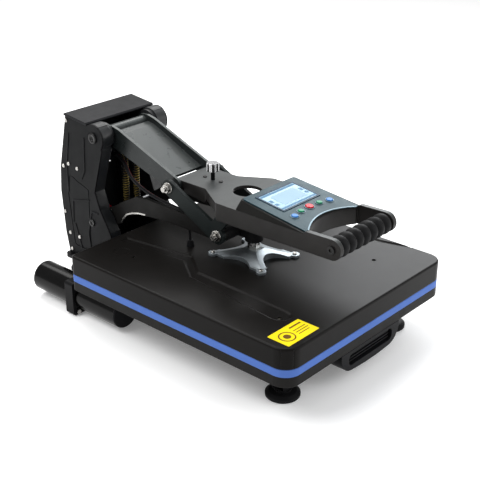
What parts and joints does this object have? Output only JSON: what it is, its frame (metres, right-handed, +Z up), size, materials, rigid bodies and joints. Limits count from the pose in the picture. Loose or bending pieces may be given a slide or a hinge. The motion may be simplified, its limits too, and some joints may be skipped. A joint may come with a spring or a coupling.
{
  "type": "clamshell heat press",
  "caption": "Clamshell heat press: flat heated upper platen on a toggle arm with a front grip and control box, over a padded platen on a drawer.",
  "frame": {"origin": "on the bench, at the centre of the footprint's bounding box", "axes": "+Z up, -Y towards the operator (the grip end), +X to the operator's right"},
  "size_m": [0.45, 0.71, 0.341],
  "materials": {
    "black_paint": "gloss",
    "charcoal_paint": "satin",
    "grey_paint": "satin",
    "cap_paint": "satin",
    "steel": "brushed",
    "zinc": "polished",
    "rod_steel": "brushed",
    "cast_alloy": "bead blasted",
    "plate_alloy": "machined",
    "cast_block": "cast",
    "black_plastic": "matte",
    "gloss_black": "gloss",
    "box_plastic": "matte",
    "panel_blue": "metallic",
    "screen": "clear",
    "button_blue": "gloss",
    "button_green": "gloss",
    "button_red": "gloss",
    "black_rubber": "matte",
    "pad_silicone": "satin",
    "wool": "felt",
    "cable": "satin",
    "spring_steel": "gloss"
  },
  "bodies": {
    "base": {"base_rails": "black_paint", "front_crossbar": "black_paint", "base_plate": "black_paint", "support_tubes": "black_paint", "tube_end_plugs": "black_plastic", "tube_clamps": "black_paint", "clamp_bolts": "zinc", "rubber_feet": "black_rubber", "slide_rails": "zinc", "tower_leg_left": "charcoal_paint", "tower_leg_right": "charcoal_paint", "side_cover_left": "charcoal_paint", "side_cover_right": "charcoal_paint", "side_cover_screws": "zinc", "tower_cap": "cap_paint", "back_cover": "charcoal_paint", "mains_inlet": "gloss_black", "upper_pivot_pin": "steel", "lower_pivot_pin": "steel", "spring_hanger": "black_paint", "lift_springs": "spring_steel", "loom_clip": "black_plastic"},
    "drawer": {"slide_runners": "steel", "lower_platen": "black_paint", "silicone_pad": "pad_silicone", "drawer_pull": "black_plastic"},
    "lower_arm": {"arm_bar_left": "grey_paint", "arm_bar_right": "grey_paint", "pivot_sleeve": "steel", "spring_bar": "steel", "front_axle": "steel", "pressure_block": "cast_block", "pressure_rod": "rod_steel", "pressure_nuts": "zinc", "spider_bracket": "cast_alloy", "spider_screws": "zinc", "platen_cover": "black_paint", "heating_plate": "plate_alloy", "insulation_pad": "wool", "cable_gland": "black_plastic", "cable_loom": "cable"},
    "toggle_link": {"toggle_link": "grey_paint", "elbow_pin": "steel"},
    "handle_arm": {"handle_arm": "grey_paint", "side_plate_left": "grey_paint", "side_plate_right": "grey_paint", "side_plate_nuts": "zinc", "control_box": "box_plastic", "control_panel": "panel_blue", "lcd_screen": "screen", "grip_bar": "steel", "rubber_grip": "black_rubber", "handle_screws": "zinc"},
    "pressure_knob": {"pressure_knob": "zinc"},
    "power_switch": {"power_switch": "button_red"},
    "button_up": {"button_up": "button_blue"},
    "button_set": {"button_set": "button_green"},
    "button_start": {"button_start": "button_red"},
    "button_mode": {"button_mode": "button_green"},
    "button_down": {"button_down": "button_blue"}
  },
  "joints": [
    {"name": "drawer_slide", "type": "slide", "parent": "base", "child": "drawer", "axis": [0, -1, 0], "range_m": [0, 0.3]},
    {"name": "arm_hinge", "type": "hinge", "parent": "base", "child": "lower_arm", "pos_m": [0, 0.262, 0.126], "axis": [-1, 0, 0], "range_deg": [0, 14], "deforming": ["lift_springs", "cable_loom"]},
    {"name": "link_hinge", "type": "hinge", "parent": "base", "child": "toggle_link", "pos_m": [0, 0.244, 0.307], "axis": [-1, 0, 0], "range_deg": [-16, 0]},
    {"name": "handle_hinge", "type": "hinge", "parent": "toggle_link", "child": "handle_arm", "pos_m": [0, 0.063, 0.248], "axis": [-1, 0, 0], "range_deg": [0, 70.2]},
    {"name": "knob_turn", "type": "hinge", "parent": "handle_arm", "child": "pressure_knob", "pos_m": [0, 0.012, 0.28], "axis": [0, 0, 1], "continuous": true},
    {"name": "switch_rock", "type": "hinge", "parent": "base", "child": "power_switch", "pos_m": [0.024, 0.346, 0.1], "axis": [1, 0, 0], "range_deg": [-8, 8]},
    {"name": "button_up_press", "type": "slide", "parent": "handle_arm", "child": "button_up", "axis": [0, 0.1231, -0.9924], "range_m": [0, 0.0018], "stiffness_N_per_m": 300},
    {"name": "button_set_press", "type": "slide", "parent": "handle_arm", "child": "button_set", "axis": [0, 0.1231, -0.9924], "range_m": [0, 0.0018], "stiffness_N_per_m": 300},
    {"name": "button_start_press", "type": "slide", "parent": "handle_arm", "child": "button_start", "axis": [0, 0.1231, -0.9924], "range_m": [0, 0.0018], "stiffness_N_per_m": 300},
    {"name": "button_mode_press", "type": "slide", "parent": "handle_arm", "child": "button_mode", "axis": [0, 0.1231, -0.9924], "range_m": [0, 0.0018], "stiffness_N_per_m": 300},
    {"name": "button_down_press", "type": "slide", "parent": "handle_arm", "child": "button_down", "axis": [0, 0.1231, -0.9924], "range_m": [0, 0.0018], "stiffness_N_per_m": 300}
  ],
  "couplings": [
    {"joint": "link_hinge", "follows": "arm_hinge", "ratio": -1.1343},
    {"joint": "handle_hinge", "follows": "arm_hinge", "ratio": 4.999}
  ]
}
